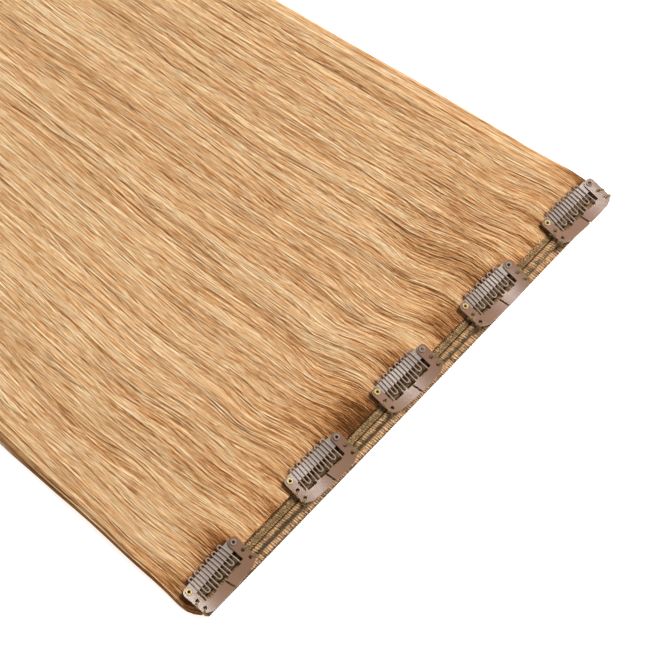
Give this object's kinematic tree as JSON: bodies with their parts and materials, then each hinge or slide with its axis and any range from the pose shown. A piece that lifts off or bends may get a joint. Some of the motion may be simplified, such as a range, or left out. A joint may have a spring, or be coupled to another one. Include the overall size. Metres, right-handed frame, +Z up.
{
  "type": "clip-in hair extension",
  "caption": "Wide clip-in hair extension: long straight hair on a sewn triple weft, with snap clips along its edge, lying flat with the clips upwards.",
  "frame": {"origin": "on the surface that the extension lies on, under the middle of the clips' rivet line", "axes": "+X along the weft, from the first clip to the last; +Y with the hair, from the weft to its tips; +Z up, out of the side that carries the clips"},
  "size_m": [0.2645, 0.4735, 0.0073],
  "materials": {
    "hair": "straight hair, soft sheen",
    "weft": "sewn hair and thread, matt",
    "enamel": "satin",
    "brass": "bright"
  },
  "bodies": {
    "root": {"weft_lower_track": "weft", "weft_roll": "weft", "weft_upper_track": "weft", "hair_lower": "hair", "hair_upper": "hair", "clip_1_comb": "enamel", "clip_1_bar": "enamel", "clip_1_eyelet": "brass", "clip_1_rivet": "enamel", "clip_2_comb": "enamel", "clip_2_bar": "enamel", "clip_2_eyelet": "brass", "clip_2_rivet": "enamel", "clip_3_comb": "enamel", "clip_3_bar": "enamel", "clip_3_eyelet": "brass", "clip_3_rivet": "enamel", "clip_4_comb": "enamel", "clip_4_bar": "enamel", "clip_4_eyelet": "brass", "clip_4_rivet": "enamel", "clip_5_comb": "enamel", "clip_5_bar": "enamel", "clip_5_eyelet": "brass", "clip_5_rivet": "enamel"}
  },
  "joints": []
}
